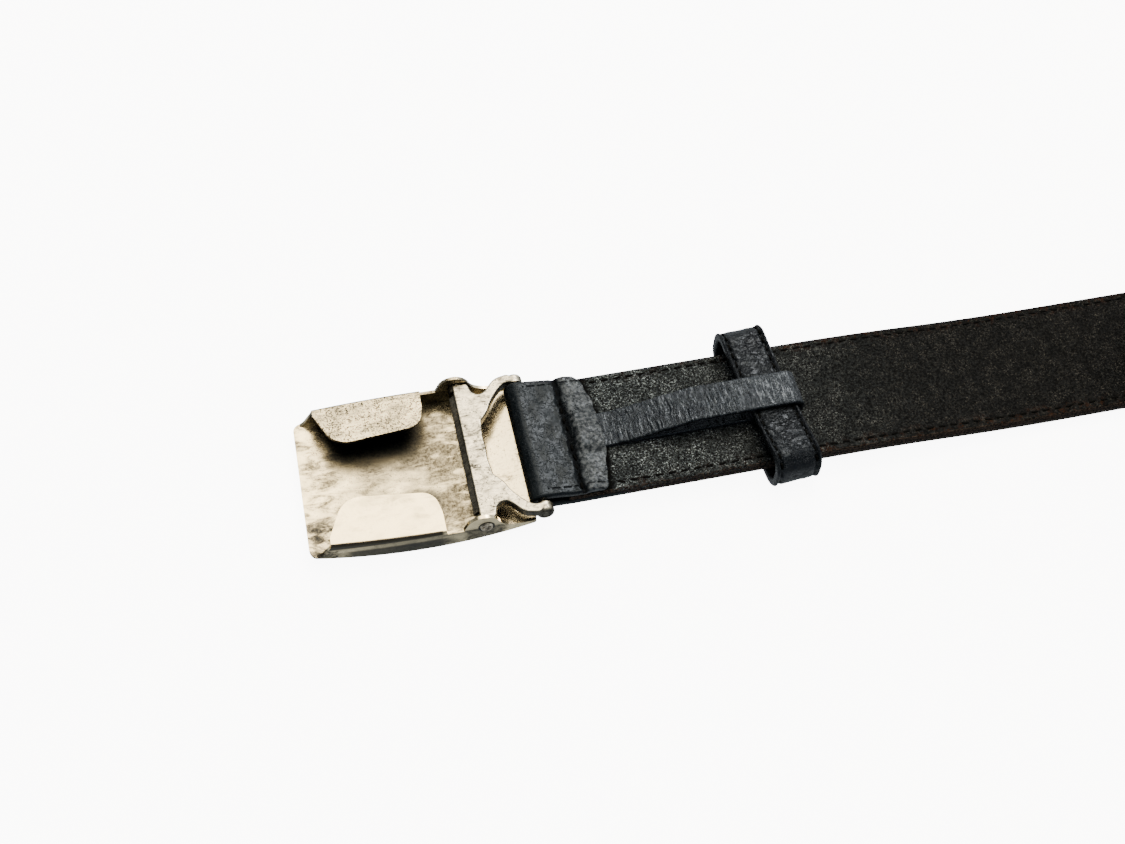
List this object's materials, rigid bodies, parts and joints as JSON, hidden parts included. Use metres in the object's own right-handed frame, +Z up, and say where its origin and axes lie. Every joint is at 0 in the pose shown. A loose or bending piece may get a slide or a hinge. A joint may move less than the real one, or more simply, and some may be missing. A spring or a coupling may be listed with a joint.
{
  "type": "leather dress belt",
  "caption": "Leather dress belt, lining side up, with a plaque buckle that clamps the strap with a pivoting frame, a sliding keeper on a tether, and its tail rolled up.",
  "frame": {"origin": "on the surface that the belt lies on, under the middle of its bounding box", "axes": "+X along the belt from the buckle's free end to the rolled tail, +Y across the belt, +Z up, away from the buckle's face"},
  "size_m": [0.2914, 0.042, 0.0747],
  "materials": {
    "nickel_silver": "aged plated sheet, dull, pitted and brown in the corners",
    "cast_metal": "rough aged casting",
    "pin_metal": "turned and riveted",
    "grain_leather": "smooth black, semi-gloss",
    "split_leather": "rough black-brown suede",
    "keeper_leather": "smooth black, glossy",
    "thread": "waxed black sewing thread"
  },
  "bodies": {
    "buckle_plate": {"face_plate": "nickel_silver", "pivot_pins": "pin_metal"},
    "clamp": {"clamp_frame": "cast_metal", "strap_bar": "cast_metal"},
    "strap_lead": {"outer_strap_lead": "grain_leather", "lining_lead": "split_leather", "chape_thread": "thread", "edge_thread_lead": "thread", "tether": "grain_leather"},
    "strap_roll": {"outer_strap_tail": "grain_leather", "lining_tail": "split_leather", "edge_thread_tail": "thread"},
    "keeper_loop": {"keeper": "keeper_leather", "keeper_thread": "thread", "keeper_staple": "pin_metal"}
  },
  "joints": [
    {"name": "clamp_pivot", "type": "hinge", "parent": "buckle_plate", "child": "clamp", "pos_m": [-0.10668, 0, 0.00545], "axis": [0, -1, 0], "range_deg": [0, 80]},
    {"name": "strap_hinge", "type": "hinge", "parent": "clamp", "child": "strap_lead", "pos_m": [-0.09312, 0, 0.0054], "axis": [0, -1, 0], "range_deg": [0, 60]},
    {"name": "strap_flex", "type": "hinge", "parent": "strap_lead", "child": "strap_roll", "pos_m": [0.04433, 0, 0.00165], "axis": [0, -1, 0], "range_deg": [0, 60]},
    {"name": "keeper_slide", "type": "slide", "parent": "strap_lead", "child": "keeper_loop", "axis": [1, 0, 0], "range_m": [-0.009, 0]}
  ]
}
